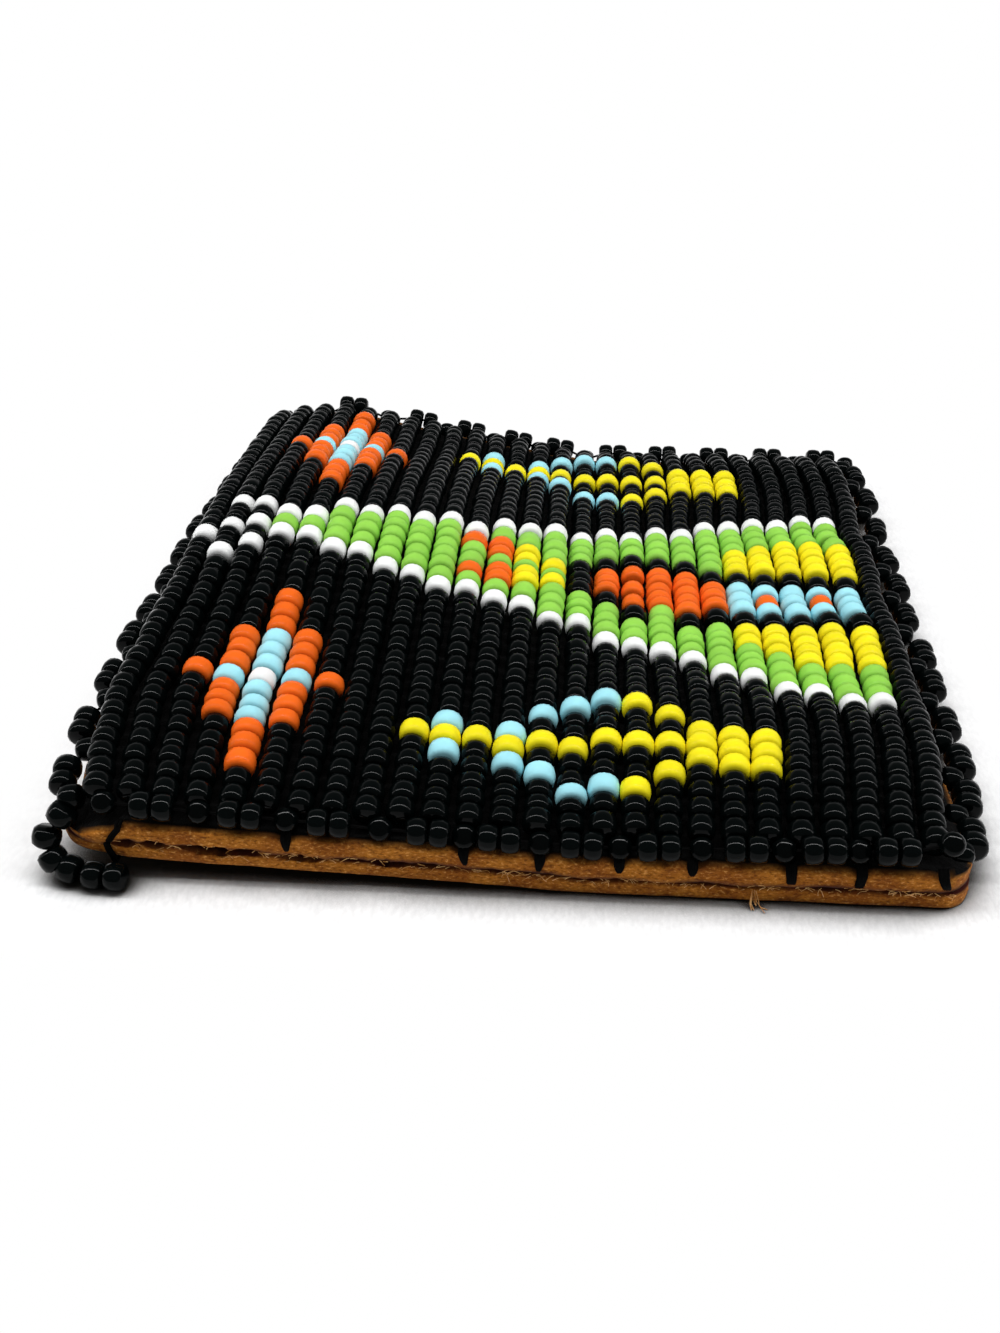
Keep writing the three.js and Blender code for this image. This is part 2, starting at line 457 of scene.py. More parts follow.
def bead_blank():
    profile = [(radius, -height) for radius, height in reversed(HALF_OUTLINE)] + HALF_OUTLINE
    form = bmesh.new()
    points = [form.verts.new((radius, 0, height)) for radius, height in profile]
    sides = [form.edges.new(pair) for pair in zip(points, points[1:])]
    bmesh.ops.spin(form, geom=points + sides, axis=(0, 0, 1), cent=(0, 0, 0), angle=math.tau,
                   steps=BEAD_SIDES, use_merge=True)
    bmesh.ops.remove_doubles(form, verts=form.verts, dist=0.0001)
    bmesh.ops.holes_fill(form, edges=[edge for edge in form.edges if edge.is_boundary], sides=0)
    bmesh.ops.recalc_face_normals(form, faces=form.faces)
    mesh = bpy.data.meshes.new("bead_blank")
    form.to_mesh(mesh)
    form.free()
    return mesh


BLANK = bead_blank()


class Bead:
    def __init__(self, place, axis, glass="black", length=BEAD_LENGTH, swell=1.0):
        self.place = Vector(place)
        self.axis = Vector(axis).normalized()
        self.glass = glass
        self.length = length
        self.swell = swell


# How beads differ from one another
RADIUS_SPREAD = (0.96, 1.04)
SHADE_SPREAD = (0.9, 1.0)
LEAN = 0.05


def strung(name, beads):
    form = bmesh.new()
    tint = form.verts.layers.float_color.new("glass_tint")
    polish = form.verts.layers.float.new("glass_roughness")
    for bead in beads:
        colour, radius, roughness = GLASS[bead.glass]
        radius *= bead.swell * chance.uniform(*RADIUS_SPREAD)
        shade = chance.uniform(*SHADE_SPREAD)
        lean = Vector((chance.uniform(-1, 1), chance.uniform(-1, 1), chance.uniform(-1, 1))) * LEAN
        turn = (bead.axis + lean).to_track_quat("Z", "Y").to_matrix().to_4x4()
        size = Matrix.Diagonal((radius, radius, bead.length, 1))
        before = len(form.verts)
        form.from_mesh(BLANK)
        form.verts.ensure_lookup_table()
        fresh = form.verts[before:]
        bmesh.ops.transform(form, matrix=Matrix.Translation(bead.place) @ turn @ size, verts=fresh)
        for point, blank in zip(fresh, BLANK.vertices):
            # Painted shade at the bead's ends
            depth = shade * (BORE_SHADE if abs(blank.co.z) > BORE_HEIGHT else 1.0)
            point[tint] = (colour[0] * depth, colour[1] * depth, colour[2] * depth, 1)
            point[polish] = roughness
    return piece_from(form, name, GLASS_FINISH)


# How far each strand has slipped along, in rows. Seven values are given, and the others are a fit's.
SLIP = (0.44, 0.14, 0.09, 0.09, 0.01, -0.1, 0.0, 0.0, 0.45, 0.3, 0.05, 0.45, 0.15, -0.02, 0.02, -0.13, 0.0,
        -0.16, -0.11, -0.03, 0.14, 0.25, 0.14, -0.02, -0.08, 0.0)

# How far the near arrow's beads have slipped besides, strand by strand
ARROW_SLIP = {10: 0.45, 11: 0.12, 12: 0.85, 13: 0.43, 14: 0.7,
              16: 0.13, 17: 0.09, 18: 0.13, 19: 0.4, 20: 0.4}
ARROW_REACH = ((5.0, 0.0), (12.0, 1.0), (17.0, 1.0), (20.5, 0.0))

# How far the beads have slipped besides, strand by strand and by row
LOCAL_SLIP = {
    1: ((-6.0, 0.0), (-3.0, 0.45), (0.0, 0.0), (3.0, -0.4), (6.0, 0.0)),
    3: ((5.0, 0.0), (8.5, 0.35), (12.0, 0.4), (16.0, -0.3), (20.0, 0.0)),
    4: ((-6.0, 0.0), (-2.0, -0.2), (0.0, 0.0), (3.0, 0.0), (6.0, 0.45),
        (12.5, 0.5), (17.0, -0.1), (20.0, 0.0)),
    5: ((-6.0, 0.0), (-2.0, -0.35), (0.0, 0.0), (5.0, 0.1), (8.5, 0.45), (12.0, 0.45), (17.0, 0.0)),
    6: ((8.0, 0.0), (11.5, 0.5), (16.0, 0.0)),
    7: ((-6.0, 0.0), (-3.0, 0.35), (0.0, 0.0)),
    8: ((-6.0, 0.0), (-2.5, 0.4), (0.0, 0.0)),
    10: ((-6.0, 0.0), (-2.0, -0.4), (-1.0, 0.0), (2.0, 0.2), (4.0, 0.0)),
    11: ((-6.0, 0.0), (-4.0, -0.25), (-2.0, 0.3), (0.5, 0.2), (2.0, 0.0)),
    12: ((-6.0, 0.0), (-3.5, 0.1), (-2.5, 1.0), (-0.5, 0.75), (0.5, 0.3),
         (2.5, 0.0), (4.0, 0.45), (9.0, 0.0)),
    13: ((-9.0, 0.0), (-5.0, 0.5), (-1.5, 1.0), (-0.5, 1.15), (0.5, 0.6),
         (4.5, 0.6), (5.5, 0.3), (9.0, 0.0)),
    14: ((-5.0, 0.0), (-1.5, -0.15), (1.5, 0.25), (5.0, -0.4), (8.0, 0.0)),
    16: ((-4.0, 0.0), (-2.0, 0.45), (0.0, 0.2), (2.0, -0.35), (4.0, 0.3), (6.0, 0.2), (9.0, 0.0)),
    17: ((-9.0, 0.0), (-3.5, 0.1), (-2.5, 0.3), (0.0, 0.2), (7.0, -0.4), (9.0, 0.0)),
    18: ((-8.0, 0.0), (-3.0, 0.3), (0.0, 0.2), (3.0, 0.4), (4.0, 0.7), (6.0, 0.1), (8.0, 0.0)),
    19: ((-11.0, 0.0), (-8.0, -0.3), (-3.0, 0.0), (0.0, 0.2), (2.0, 0.5),
         (3.0, 0.75), (6.0, 0.2), (8.0, 0.0)),
    20: ((-11.0, 0.0), (-8.5, 0.35), (-5.5, 0.1), (-2.5, 0.0), (1.5, 0.1),
         (2.5, 0.3), (5.0, 0.45), (7.5, 0.0)),
    21: ((-11.0, 0.0), (-9.0, -0.4), (-6.5, -0.9), (-3.0, -0.5), (-1.5, -0.1), (6.0, 0.0), (9.0, 0.45),
         (12.0, 0.0)),
    22: ((-11.5, 0.0), (-9.0, -0.4), (-3.0, -0.6), (0.0, -0.2), (6.0, 0.0), (9.0, 0.5), (12.0, 0.0)),
    23: ((-11.0, 0.0), (-6.5, -0.5), (-3.0, -0.5), (-1.5, 0.0), (0.0, -0.35), (3.0, -0.5), (7.0, 0.0),
         (10.0, 0.35), (12.0, 0.0)),
    24: ((-12.0, 0.0), (-10.0, 0.1), (-6.5, -0.2), (-1.5, 0.0), (1.0, -0.4), (3.0, -0.2), (7.0, 0.0)),
}
NO_SLIP = ((0.0, 0.0),)

# How far the beads beside the inlay's black ones are pushed out, by their reach from the middle row
YELLOW_PUSH = ((1.5, 0.0), (2.5, 0.3), (7.0, 0.0))
SHORT_ORANGE_PUSH = ((0.0, 0.0), (1.5, -0.35), (2.5, 0.1), (6.0, 0.0))
LONG_ORANGE_PUSH = ((0.0, 0.0), (2.5, -0.35), (3.5, 0.0))
INLAY_PUSH = {15: SHORT_ORANGE_PUSH, 17: LONG_ORANGE_PUSH, 18: LONG_ORANGE_PUSH, 19: SHORT_ORANGE_PUSH,
              20: YELLOW_PUSH, 21: YELLOW_PUSH, 22: YELLOW_PUSH, 23: YELLOW_PUSH, 24: YELLOW_PUSH}


def slipped(strand, row):
    own = SLIP[strand] * (1 - (row / (END_ROW + 1)) ** 2)
    own += ARROW_SLIP.get(strand, 0) * eased(ARROW_REACH, row)
    own += eased(LOCAL_SLIP.get(strand, NO_SLIP), row)
    own += eased(INLAY_PUSH.get(strand, NO_SLIP), abs(row)) * math.copysign(1, row)
    return row + own


# The strands bend down at the far edge
FAR_BEND = 0.9
FAR_BEND_START = 35.0
FAR_BEND_END = 41.0


def strand_line(strand, row):
    x = strand * STRAND_PITCH - OUTER_STRAND
    y = -row * BEAD_LENGTH
    x += sway(x, y)
    bend = FAR_BEND * rising(y, FAR_BEND_START, FAR_BEND_END, 1.2) ** 2
    return Vector((x, y, front_top(x, y) + BEAD_LIFT - bend))


# How far beads stray along, across and up, and how their lengths differ
STRAY_ALONG = 0.05
STRAY_ACROSS = 0.07
STRAY_UP = 0.06
LENGTH_SPREAD = (0.96, 1.06)
SMALL_LENGTH = 1.1
SMALL_SWELL = 0.88
JET_LENGTH = 1.25


def bead_strand(strand):
    beads = []
    for row in range(-END_ROW, END_ROW + 1):
        middle = slipped(strand, row) + chance.uniform(-STRAY_ALONG, STRAY_ALONG)
        place = strand_line(strand, middle)
        ahead = strand_line(strand, slipped(strand, row - 0.5))
        axis = ahead - strand_line(strand, slipped(strand, row + 0.5))
        place.x += chance.uniform(-STRAY_ACROSS, STRAY_ACROSS)
        place.z += chance.uniform(-STRAY_UP, STRAY_UP)
        length = axis.length * chance.uniform(*LENGTH_SPREAD)
        if strand == SPARSE_STRAND and abs(row) == 1:
            continue
        glass = pattern(strand, row)
        small = glass == "orange" and strand in SMALL_ORANGE
        if small or glass == "jet":
            length = BEAD_LENGTH * (SMALL_LENGTH if small else JET_LENGTH)
        beads.append(Bead(place, axis, glass, length, SMALL_SWELL if small else 1.0))
    number = f"{strand + 1:02d}"
    settle(strung(f"seed_beads_{number}", beads), "field_beads", f"bead_strand_{number}")


for strand in range(STRANDS):
    bead_strand(strand)


# Picot edging: two beads in line along the edge, and one bead set back between two pairs.
# Most places of pairs are points read off the photograph, turned into millimetres by the fitted camera.
NEAR_PAIRS = (-32.2, -24.4, -16.6, -7.9, -1.7, 5.5, 12.2, 19.7, 26.3, 32.5)
FAR_PAIRS = (-36.5, -27.9, -18.2, -11.5, -4.9, 1.0, 8.5, 15.4, 22.6, 30.0, 37.4)
RIGHT_PAIRS = (-37.8, -32.2, -26.4, -19.6, -12.4, -6.5, 1.7, 8.7, 15.5, 23.4, 32.0, 39.0)
LEFT_PAIRS = (-38.2, -31.0, -23.2, -16.3, -10.3, -3.5, 2.5, 9.2, 16.0, 22.8, 29.8, 37.2)
PAIR_SPREAD = 0.98
PAIR_LENGTH = 1.9
SET_BACK_SIZE = 0.9
LAST_ANCHOR = 41.4


def anchors_between(pairs, end):
    middles = [(first + second) / 2 for first, second in zip(pairs, pairs[1:])]
    return [max(pairs[0] - end, -LAST_ANCHOR), *middles, min(pairs[-1] + end, LAST_ANCHOR)]


def edging(name, node, pairs, spot, tail, swell=0.97):
    """spot(s, out) is a bead's place at s along the edge, with out 1 in a pair and 0 set back."""
    anchors = anchors_between(pairs, tail)
    small = swell * SET_BACK_SIZE
    beads = []
    thread = []
    for number, middle in enumerate(pairs):
        set_back = anchors[number]
        down = spot(set_back, 0) - spot(set_back, 1)
        beads.append(Bead(spot(set_back, 0), down, swell=small))
        thread.append(spot(set_back, 0))
        for step in (-PAIR_SPREAD, PAIR_SPREAD):
            place = spot(middle + step, 1)
            heading = spot(middle + 1, 1) - spot(middle - 1, 1)
            beads.append(Bead(place, heading, length=PAIR_LENGTH, swell=swell))
            thread.append(place)
    last = anchors[-1]
    beads.append(Bead(spot(last, 0), spot(last, 0) - spot(last, 1), swell=small))
    thread.append(spot(last, 0))
    settle(strung(name, beads), "edging_beads", node)
    return thread


def near_spot(s, out):
    higher = 0.8 * rising(s, 8.0, 33.0) + 1.1 * rising(s, 34.0, 37.0)
    return Vector((s, -42.3 - 0.8 * out, front_top(s, NEAR_EDGE) + 0.95 + 0.75 * out + higher))


def far_spot(s, out):
    tucked = 1.3 * rising(-s, 29.0, 35.0)
    return Vector((s, 42.9 + 0.6 * out, front_top(s, FAR_EDGE) + 0.1 + 0.7 * out - tucked))


# The side edging: how far out and how high its beads sit, and how far its pairs stand out and droop
SIDE_SEAT = HALF_WIDTH + 0.15
SIDE_LIFT = 0.15
SIDE_STAND = 1.3
SIDE_DROOP = 0.2


def right_spot(s, out):
    x = SIDE_SEAT + SIDE_STAND * out + sway(HALF_WIDTH, s)
    return Vector((x, s, front_top(HALF_WIDTH, s) + SIDE_LIFT - SIDE_DROOP * out))


def left_spot(s, out):
    tucked = rising(s, 10.0, 34.0)
    x = -SIDE_SEAT - SIDE_STAND * out + 0.5 * sway(-HALF_WIDTH, s) + 0.8 * tucked
    return Vector((x, s, front_top(-HALF_WIDTH, s) + SIDE_LIFT - SIDE_DROOP * out - 1.3 * tucked))


threads = [
    edging("near_picots", "near_edging", NEAR_PAIRS, near_spot, 4.6),
    edging("far_picots", "far_edging", FAR_PAIRS, far_spot, 3.4),
    edging("right_picots", "right_edging", RIGHT_PAIRS, right_spot, 2.4, 1.04),
    edging("left_picots", "left_edging", LEFT_PAIRS, left_spot, 3.0, 1.0),
]


def corner_loop():
    """Beads that turn down and under the near left corner to the table."""
    top = front_top(-HALF_WIDTH, NEAR_EDGE)
    line = [Vector((-40.7, -42.6, top - 0.6)), Vector((-42.2, -43.3, top - 2.6)),
            Vector((-41.6, -44.2, 2.2)), Vector((-40.1, -44.6, 1.45)),
            Vector((-37.8, -45.1, 1.25)), Vector((-35.8, -45.2, 1.25))]
    beads = []
    for number, place in enumerate(line):
        ahead = line[min(number + 1, len(line) - 1)]
        behind = line[max(number - 1, 0)]
        beads.append(Bead(place, ahead - behind, length=1.95))
    settle(strung("corner_loop", beads), "edging_beads", "corner_edging")
    return line


threads.append(corner_loop())


# Thread and fibres, with their thickness
EDGING_THREAD = 0.3
STITCH_THREAD = 0.38
FIBRE_THREAD = 0.06


def thread_piece(name, runs, thickness, slot, finish):
    """A round strand along each run of places, as one mesh."""
    curve = bpy.data.curves.new(name, "CURVE")
    curve.dimensions = "3D"
    curve.bevel_depth = thickness / 2 * MM
    curve.bevel_resolution = 1
    curve.use_fill_caps = True
    for run in runs:
        spline = curve.splines.new("POLY")
        spline.points.add(len(run) - 1)
        for point, place in zip(spline.points, run):
            point.co = (*(place * MM), 1.0)
    rope = bpy.data.objects.new(name, curve)
    bpy.context.collection.objects.link(rope)
    bpy.context.view_layer.update()
    mesh = bpy.data.meshes.new_from_object(rope.evaluated_get(bpy.context.evaluated_depsgraph_get()))
    bpy.data.objects.remove(rope)
    bpy.data.curves.remove(curve)
    mesh.name = name
    mesh.materials.clear()
    mesh.materials.append(finish)
    mesh.shade_smooth()
    settle(bpy.data.objects.new(name, mesh), slot)


thread_piece("edging_thread", threads, EDGING_THREAD, "edging_beads", THREAD_FINISH)


# Stitches over the near edge: place, how far down, how wide at the foot, and lean
STITCHES = ((-20.5, 0.95, 0.2, 0.0), (-4.8, 1.0, 0.2, 0.1), (1.9, 0.95, 0.25, -0.1), (8.85, 0.6, 0.3, 0.0),
            (15.2, 0.6, 0.3, 0.0), (23.7, 1.05, 0.8, 0.1), (29.75, 1.1, 0.8, -0.1), (36.7, 0.95, 0.7, 0.4))
# The stitch at the left closes the mouth: how far along and how far down, over one sheet and then the other
LEFT_STITCH = (((-35.3, -0.5), (-35.5, 0.15), (-36.1, 0.9), (-36.4, 1.4)),
               ((-36.7, 1.8), (-36.6, 2.4), (-36.3, 3.2), (-36.2, 3.7)))
LEFT_STITCH_PINCH = -36.2
LEFT_STITCH_TOP = -36.0
STITCH_THREADS = (-0.3, -0.1, 0.1, 0.3)
LEFT_STITCH_THREADS = (-0.14, 0.14)


def stitches():
    runs = []
    for x, drop, drawn, lean in STITCHES:
        top = front_top(x, NEAR_EDGE) - near_drop(x, NEAR_EDGE)
        for side in STITCH_THREADS:
            foot = x + lean + side * drawn
            runs.append([Vector((x + side, NEAR_EDGE + 0.5, top + 0.6)),
                         Vector((x + side, NEAR_EDGE - 0.2, top + 0.05)),
                         Vector(((x + side + foot) / 2, NEAR_EDGE - 0.26, top - drop / 2)),
                         Vector((foot, NEAR_EDGE - 0.2, top - drop)),
                         Vector((foot, NEAR_EDGE + 0.4, top - drop - 0.1))])
    edge = front_top(LEFT_STITCH_TOP, NEAR_EDGE) - near_drop(LEFT_STITCH_TOP, NEAR_EDGE)
    into_leather = Vector((0, 0.6, 0))
    for part in LEFT_STITCH:
        for side in LEFT_STITCH_THREADS:
            path = [Vector((x + side, NEAR_EDGE - 0.22, edge - down)) for x, down in part]
            runs.append([path[0] + into_leather, *path, path[-1] + into_leather])
    thread_piece("near_stitches", runs, STITCH_THREAD, "edging_beads", THREAD_FINISH)


stitches()


# Suede sheets
CORNER_RADIUS = 3.4


def sheet_plan(u, v, half_width):
    """A place on a sheet with round corners, for u and v from -1 to 1."""
    middle = (NEAR_EDGE + FAR_EDGE) / 2
    half_length = (FAR_EDGE - NEAR_EDGE) / 2
    x = u * half_width
    y = middle + v * half_length
    past_x = abs(x) - (half_width - CORNER_RADIUS)
    past_y = abs(y - middle) - (half_length - CORNER_RADIUS)
    if past_x > 0 and past_y > 0:
        pull = max(past_x, past_y) / math.hypot(past_x, past_y)
        x -= math.copysign(past_x * (1 - pull), x)
        y -= math.copysign(past_y * (1 - pull), y - middle)
    return x, y


# Where the lips of the mouth stand apart along the near edge: from, to, and how far at the middle
MOUTH_GAPS = ((-36.3, -34.1, 0.95), (-34.0, -31.4, 0.9), (-30.6, -22.3, 1.1), (-21.5, -17.3, 0.75),
              (-17.3, -13.3, 0.3), (-13.3, -9.7, 0.8), (-9.7, -5.1, 0.45), (-5.1, 3.0, 0.25),
              (3.0, 12.0, 0.3), (12.0, 24.0, 0.2), (24.0, 38.0, 0.3))
LEAST_GAP = 0.03


def mouth_open(x):
    """How far apart the lips of the mouth are."""
    ragged = noise.noise(Vector((x * 0.7, 3.1, 0))) + 0.8 * noise.noise(Vector((x * 2.1, 9.4, 0)))
    gap = 0.0
    for start, end, wide in MOUTH_GAPS:
        if start < x < end:
            gap = wide * math.sin(math.pi * (x - start) / (end - start)) ** 0.6
    return max(gap * (1 + 0.7 * ragged), LEAST_GAP)


def lip_line(x):
    """How far the slit between the lips wanders up or down."""
    return 0.22 * noise.noise(Vector((x * 0.23, 5.7, 0))) + 0.1 * noise.noise(Vector((x * 0.9, 1.3, 0)))


# How far the sheets reach past their own half width, along the left and the right edge
LEFT_REACH = ((-5.0, 0.2), (8.0, 0.5), (14.0, 0.8), (18.5, 0.9), (20.8, 2.0))
RIGHT_REACH = ((10.0, 0.0), (20.0, 0.3))


def reach(x, y):
    row = -y / BEAD_LENGTH
    to_right = max(x / HALF_WIDTH, 0)
    to_left = max(-x / HALF_WIDTH, 0)
    return eased(RIGHT_REACH, row) * to_right - eased(LEFT_REACH, row) * to_left


# What is kept at each point of a sheet: a cut edge, painted shade under the beads, painted shade in the
# mouth, and 1 on top
SHEET_MARKS = ("cut_edge", "under_beads", "mouth_shade", "rise")
LIP_DEPTH = 3.0
NOSE_DROP = 1.9
NOSE_LIFT = 0.9
NOSE_POWER = 1.25


def sheet_form(base, half_width, shift):
    """A sheet over its plan, with its lower face on base and three rows of points around its rim."""
    form = bmesh.new()
    for mark in SHEET_MARKS:
        form.verts.layers.float.new(mark)
    rise = form.verts.layers.float["rise"]
    bmesh.ops.create_grid(form, x_segments=240, y_segments=110, size=1)
    for point in form.verts:
        u, v = point.co.x, point.co.y
        x, y = sheet_plan(u, v, half_width)
        edge = max(abs(u), abs(v)) ** 12
        x += reach(x, y) + edge * 0.16 * noise.noise(Vector((0, y * 0.35, 0)) + shift)
        y += edge * 0.22 * noise.noise(Vector((x * 0.3, 0, 0)) + shift)
        point.co = (x, y, base(x, y) - near_drop(x, y))
    grown = bmesh.ops.extrude_face_region(form, geom=form.faces[:], use_keep_orig=True)["geom"]
    upper = [item for item in grown if isinstance(item, bmesh.types.BMVert)]
    bmesh.ops.translate(form, verts=upper, vec=(0, 0, LEATHER))
    for point in upper:
        point[rise] = 1.0
    bmesh.ops.recalc_face_normals(form, faces=form.faces)
    rim = [edge for edge in form.edges if edge.verts[0][rise] != edge.verts[1][rise]]
    bmesh.ops.subdivide_edges(form, edges=rim, cuts=3, use_grid_fill=True)
    return form


def black_under_beads(x, y, margin):
    """How much painted shade darkens the leather between the beads: 1 under them, and 0 on the bare strip
    at the left.
    """
    past_strand = sway(-OUTER_STRAND, y) - OUTER_STRAND - x
    bare = rising(past_strand, 0.4, 1.0) * rising(y - NEAR_EDGE, 5.0, 11.0)
    return rising(margin, -0.2, 0.4) * (1 - bare)


def suede_sheet(name, node, base, half_width, seed, beaded):
    shift = Vector((seed, 2 * seed, 0))
    form = sheet_form(base, half_width, shift)
    cut, under_bead_shade, shade, rise = (form.verts.layers.float[mark] for mark in SHEET_MARKS)
    stitched = [place for place, *_ in STITCHES] + [LEFT_STITCH_PINCH]
    for point in form.verts:
        x, y, z = point.co
        above = point[rise] > 0.99
        below = point[rise] < 0.01
        inner = not above and not below
        facing_mouth = below if beaded else above
        to_near = y - NEAR_EDGE
        margin = min(half_width - abs(x - reach(x, y)), to_near, FAR_EDGE - y)
        point[cut] = 1.0 if inner or margin < 0.35 else 0.0
        # Painted shade on the face that looks into the mouth
        point[shade] = rising(margin, -0.3, 0.1) if facing_mouth else 0.0
        ragged = noise.noise(Vector((x * 0.9, y * 0.9, z * 1.6)) + shift)
        lip = rising(-to_near, -LIP_DEPTH, 0)
        if facing_mouth:
            step = (mouth_open(x) - MOUTH_GAP) / 2 * lip
            point.co.z += lip_line(x) * lip + (step if beaded else -step)
        if beaded and above:
            # Painted shade under the beads
            point[under_bead_shade] = black_under_beads(x, y, margin)
            pinch = max(1 - min(abs(x - place) for place in stitched) / 1.1, 0)
            point.co.z += lip * (0.12 - 0.4 * pinch + 0.1 * ragged)
        if inner:
            toward = Vector((x, 0, 0)) if min(to_near, FAR_EDGE - y) > 1.5 else Vector((0, y, 0))
            fine = noise.noise(Vector((x * 2.1, y * 2.1, z * 3.0)) + shift)
            point.co += toward.normalized() * (0.05 + 0.14 * ragged + 0.1 * fine)
        nose = rising(-x, 35.0, 40.5) ** NOSE_POWER * rising(-to_near, -7.0, -2.0)
        if beaded:
            point.co.z -= NOSE_DROP * nose * point[rise] ** 2
        else:
            rounded = rising(-margin, -0.8, 0.1)
            point.co.z += (NOSE_LIFT * nose + 0.3 * rounded * rounded) * (1 - point[rise])
    sheet = settle(piece_from(form, name, SUEDE_FINISH), "suede", node)


def front_base(x, y):
    return front_top(x, y) - LEATHER


suede_sheet("front_suede", "front_panel", front_base, half_width=39.4, seed=3.7, beaded=True)
suede_sheet("back_suede", "back_panel", curl_height, half_width=39.6, seed=8.2, beaded=False)


# Loose fibres of the suede along the lips of the mouth, and a tuft that hangs to the table
TUFT = ((20.7, NEAR_EDGE + 0.1, 1.5), (20.75, NEAR_EDGE - 0.25, 1.0), (20.8, NEAR_EDGE - 0.6, 0.4),
        (21.1, NEAR_EDGE - 1.1, 0.12), (21.6, NEAR_EDGE - 1.4, 0.08))
TUFT_FIBRES = 11
LIP_FIBRES = 190
FIBRE_STEPS = 3


def fibre(start, heading, length, droop):
    run = [start]
    for _ in range(FIBRE_STEPS):
        bend = Vector((chance.uniform(-0.5, 0.5), chance.uniform(-0.2, 0.1), chance.uniform(-0.4, 0.4)))
        bend.z -= droop
        heading = (heading + bend).normalized()
        run.append(run[-1] + heading * length / FIBRE_STEPS)
    return run


def lip_fibres():
    runs = []
    for _ in range(LIP_FIBRES):
        x = chance.uniform(-36.5, 38.5)
        middle = front_base(x, NEAR_EDGE) - near_drop(x, NEAR_EDGE) - MOUTH_GAP / 2 + lip_line(x)
        lip = chance.choice((0.5, 0.5, -0.5)) * mouth_open(x) + chance.uniform(-0.12, 0.12)
        start = Vector((x, NEAR_EDGE - 0.02, middle + lip))
        side = chance.choice((-1, 1))
        runs.append(fibre(start, Vector((side, -0.25, 0)), chance.uniform(0.3, 0.9), 0.1))
    for _ in range(TUFT_FIBRES):
        loose = Vector((chance.uniform(-0.3, 0.3), chance.uniform(-0.3, 0.3), 0))
        tuft = [Vector(place) + loose * (0.5 + step / 2) for step, place in enumerate(TUFT)]
        runs.append(tuft[:chance.choice((3, 4, 4, 5))])
    thread_piece("suede_fibres", runs, FIBRE_THREAD, "suede", FIBRE_FINISH)


lip_fibres()


# Table, light and camera. The table is pure white from a little way off the purse, and near the purse its
# colour is darkened as painted shadow.
TABLE_HALF = 2000
PURSE_HALF_LENGTH = 43.4
CONTACT_REACH = 6.5
WHITE_FROM = 2.0
WHITE_AT = 11.0


def table():
    form = bmesh.new()
    bmesh.ops.create_grid(form, x_segments=1, y_segments=1, size=TABLE_HALF)
    material = bpy.data.materials.new("white_table")
    graph = Graph(material)
    weave = graph.grain(1.0, 2.0, 0.5, graph.stretched((2200.0, 900.0, 1.0)))
    cloth = graph.blend(weave.between(0.3, 0.7), (0.84, 0.84, 0.845, 1), (0.93, 0.93, 0.935, 1))
    # Painted shadow: where ambient occlusion finds the purse close by, the table's colour goes near black
    open_sky = graph.add("ShaderNodeAmbientOcclusion", {"samples": 12}, {"Distance": CONTACT_REACH * MM},
                         output="AO")
    painted_contact_shadow = graph.blend(open_sky.between(0.39, 0.89), (0.02, 0.018, 0.015, 1), cloth)
    matte = graph.add("ShaderNodeBsdfDiffuse", sockets={"Color": painted_contact_shadow})
    axes = graph.add("ShaderNodeVectorMath", {"operation": "ABSOLUTE"}, {0: graph.place()})
    beside = graph.add("ShaderNodeSeparateXYZ", sockets={0: axes}, output="X") - HALF_WIDTH * MM
    beyond = graph.add("ShaderNodeSeparateXYZ", sockets={0: axes}, output="Y") - PURSE_HALF_LENGTH * MM
    away = beside.math("MAXIMUM", beyond)
    seen = graph.add("ShaderNodeLightPath", output="Is Camera Ray")
    shine = graph.add("ShaderNodeLightPath", output="Is Glossy Ray")
    white = graph.add("ShaderNodeEmission", sockets={"Color": (1, 1, 1, 1), "Strength": 1.0})
    share = away.between(WHITE_FROM * MM, WHITE_AT * MM) * (seen + shine)
    mixed = graph.add("ShaderNodeMixShader", sockets={0: share, 1: matte, 2: white})
    graph.add("ShaderNodeOutputMaterial", sockets={"Surface": mixed})
    ground = piece_from(form, "table", material)
    bpy.context.collection.objects.link(ground)


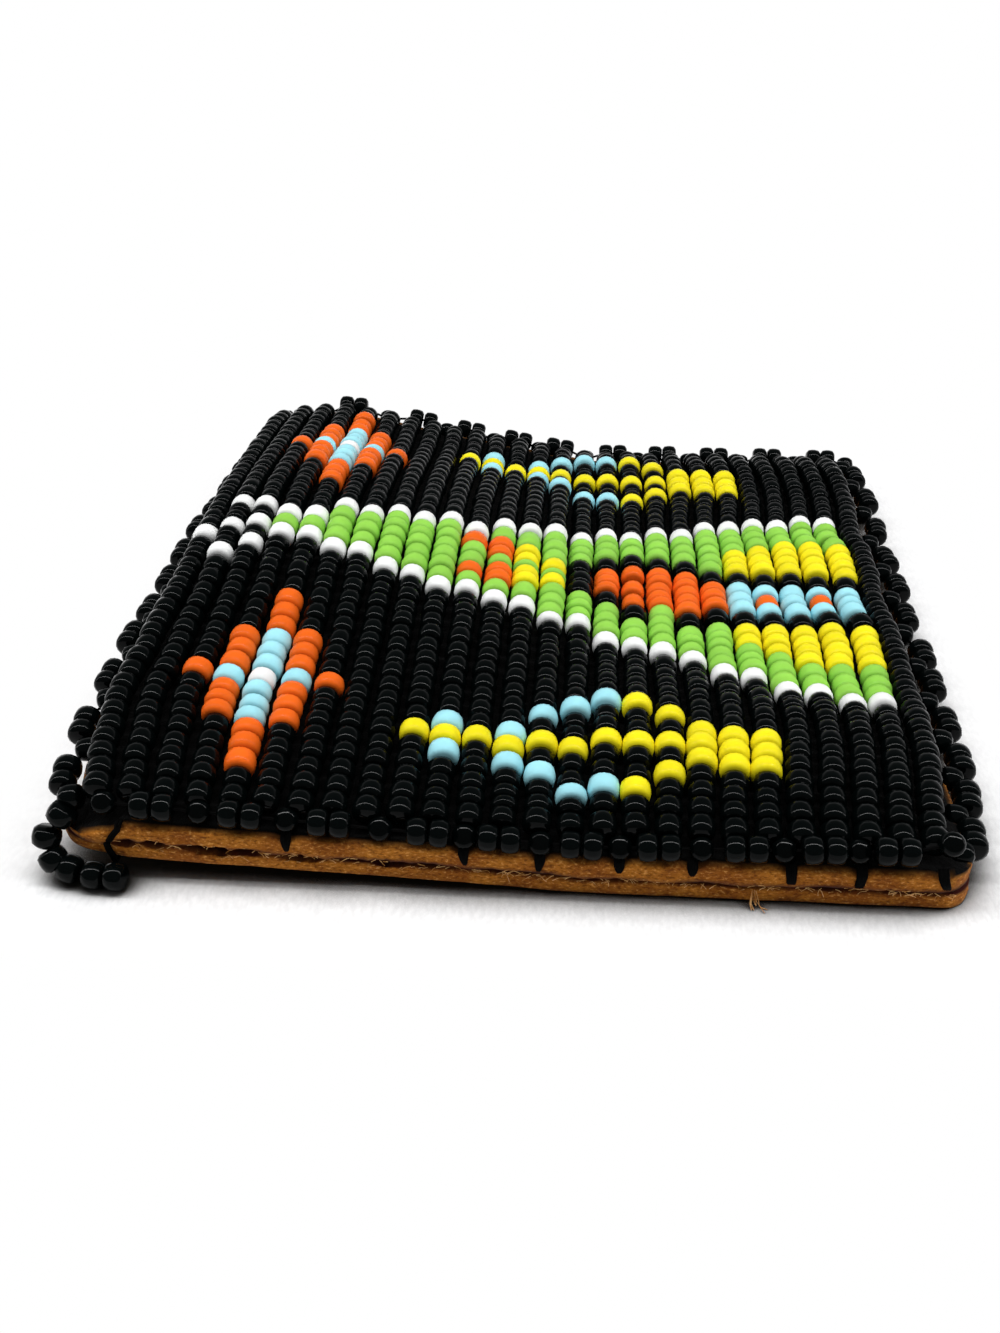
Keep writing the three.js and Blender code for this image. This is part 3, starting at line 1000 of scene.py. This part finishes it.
def studio():
    """White to the camera, dim for the light, and brighter low down behind the purse."""
    world = bpy.data.worlds.new("studio")
    bpy.context.scene.world = world
    graph = Graph(world)
    heading = graph.add("ShaderNodeTexCoord", output="Generated")
    height = graph.add("ShaderNodeSeparateXYZ", sockets={0: heading}, output="Z")
    behind = graph.add("ShaderNodeSeparateXYZ", sockets={0: heading}, output="Y")
    sweep = (1 - height.between(0.28, 0.5)) * behind.between(-0.1, 0.4)
    seen = graph.add("ShaderNodeLightPath", output="Is Camera Ray")
    strength = seen + (1 - seen) * (0.2 + 0.3 * sweep)
    back = graph.add("ShaderNodeBackground", sockets={"Color": (1, 1, 1, 1), "Strength": strength})
    graph.add("ShaderNodeOutputWorld", sockets={"Surface": back})


def soft_box(name, place, wide, deep, radiance):
    lamp = bpy.data.lights.new(name, "AREA")
    lamp.shape = "RECTANGLE"
    lamp.size = wide
    lamp.size_y = deep
    lamp.energy = radiance * math.pi * wide * deep
    holder = bpy.data.objects.new(name, lamp)
    holder.location = place
    holder.rotation_euler = (-Vector(place)).to_track_quat("-Z", "Y").to_euler()
    bpy.context.collection.objects.link(holder)


# The camera was fitted to beads and edge points read off the photograph, which is 1333 pixels high
YAW = -0.068888
PITCH = 0.567805
ROLL = -0.003104
CAMERA_PLACE = Vector((4.704, -133.943, 81.598))
FOCAL_PIXELS = 1350.0
PICTURE_HEIGHT = 1333.0
SENSOR = 36.0


def camera():
    level = math.cos(PITCH)
    ahead = Vector((math.sin(YAW) * level, math.cos(YAW) * level, -math.sin(PITCH)))
    right = Vector((math.cos(YAW), -math.sin(YAW), 0))
    up = right.cross(ahead)
    rolled_right = right * math.cos(ROLL) + up * math.sin(ROLL)
    rolled_up = up * math.cos(ROLL) - right * math.sin(ROLL)
    lens = bpy.data.cameras.new("camera")
    lens.sensor_width = SENSOR
    lens.lens = SENSOR * FOCAL_PIXELS / PICTURE_HEIGHT
    lens.clip_start = 0.005
    lens.clip_end = 20.0
    holder = bpy.data.objects.new("camera", lens)
    turn = Matrix((rolled_right, rolled_up, -ahead)).transposed().to_4x4()
    holder.matrix_world = Matrix.Translation(CAMERA_PLACE * MM) @ turn
    bpy.context.collection.objects.link(holder)
    bpy.context.scene.camera = holder


table()
studio()
soft_box("overhead", (0.0, -0.04, 0.52), 1.3, 0.024, 45.0)
soft_box("left_side", (-0.62, 0.0, 0.28), 0.06, 0.5, 7.0)
soft_box("right_side", (0.62, 0.0, 0.28), 0.06, 0.5, 7.0)
camera()
bpy.context.scene.view_settings.view_transform = "Standard"
